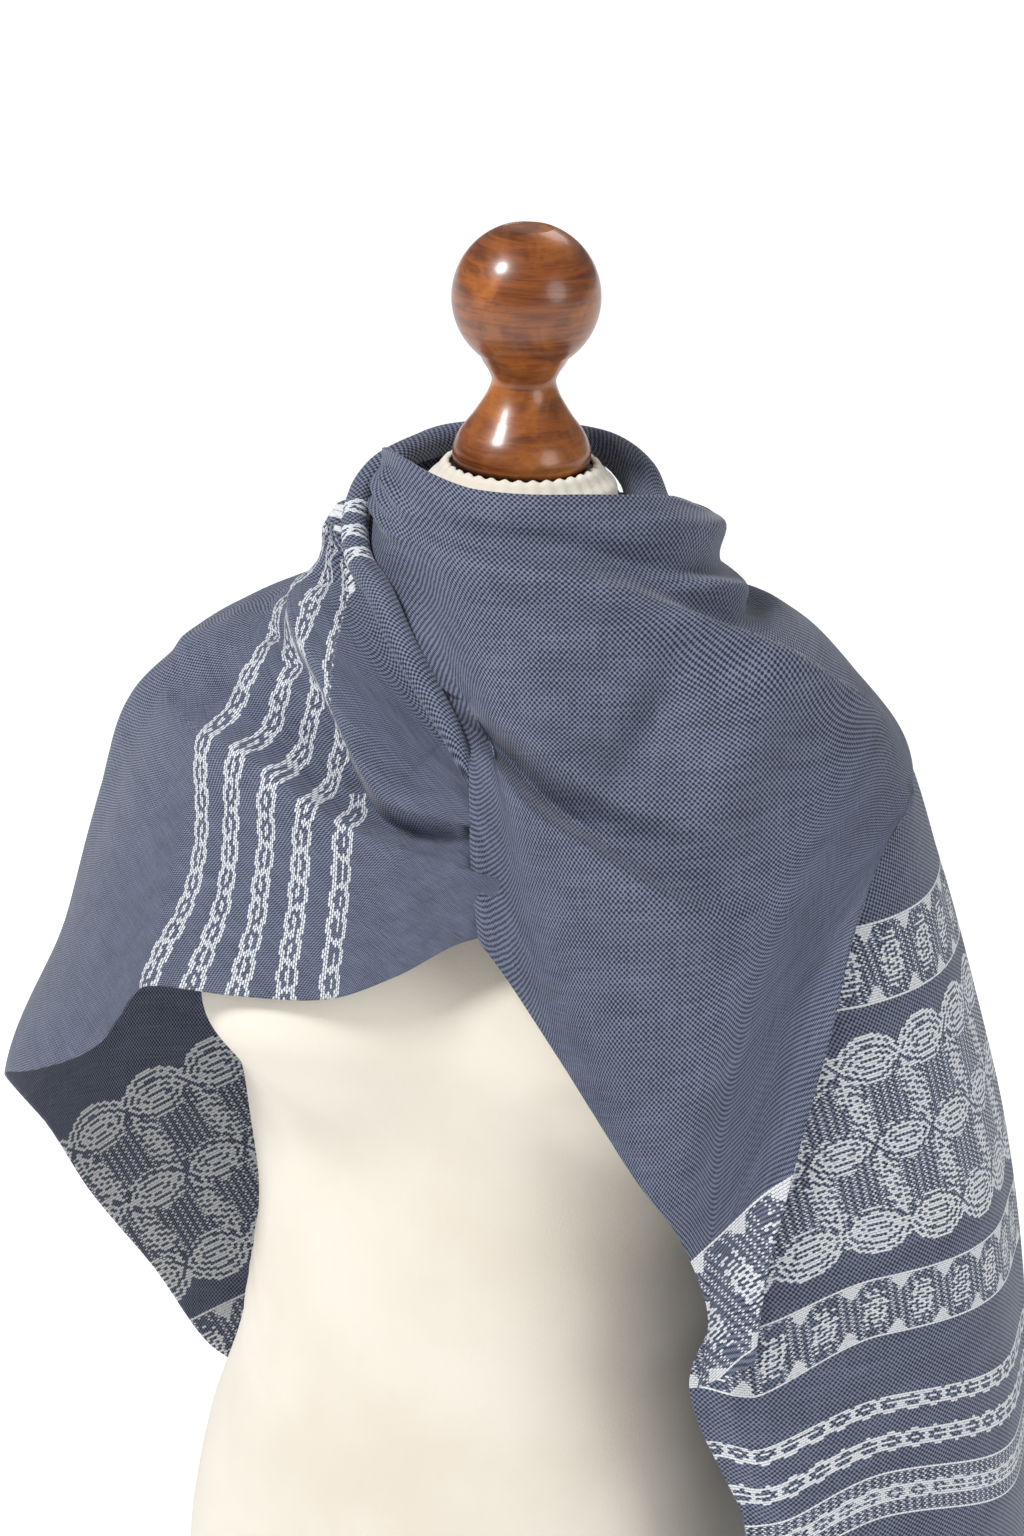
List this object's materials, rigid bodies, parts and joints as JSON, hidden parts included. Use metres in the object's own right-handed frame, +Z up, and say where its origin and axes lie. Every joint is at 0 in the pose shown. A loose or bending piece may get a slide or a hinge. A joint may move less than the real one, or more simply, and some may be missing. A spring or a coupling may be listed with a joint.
{
  "type": "silk scarf on a dress form",
  "caption": "Woven silk shawl with brocade bands, wrapped round a limbless dress form with a turned wooden ball finial.",
  "frame": {"origin": "centre of the base board's underside, on the neck axis", "axes": "+Z up along the neck axis, the front faces -Y, +X is the viewer's right"},
  "size_m": [0.6152, 0.3701, 0.9042],
  "materials": {
    "silk_cloth": "woven, slubbed, with raised white supplementary threads",
    "jersey": "fine knit, matt",
    "turned_wood": "stained and varnished, soft gloss",
    "black_plate": "matt black",
    "board_wood": "plain, oiled"
  },
  "bodies": {
    "root": {"base_board": "board_wood", "dress_form": "jersey", "neck_plate": "black_plate", "ball_finial": "turned_wood", "right_front": "silk_cloth", "left_front": "silk_cloth", "back_sheet": "silk_cloth", "tail_sheet": "silk_cloth", "rolled_edge": "silk_cloth"}
  },
  "joints": []
}
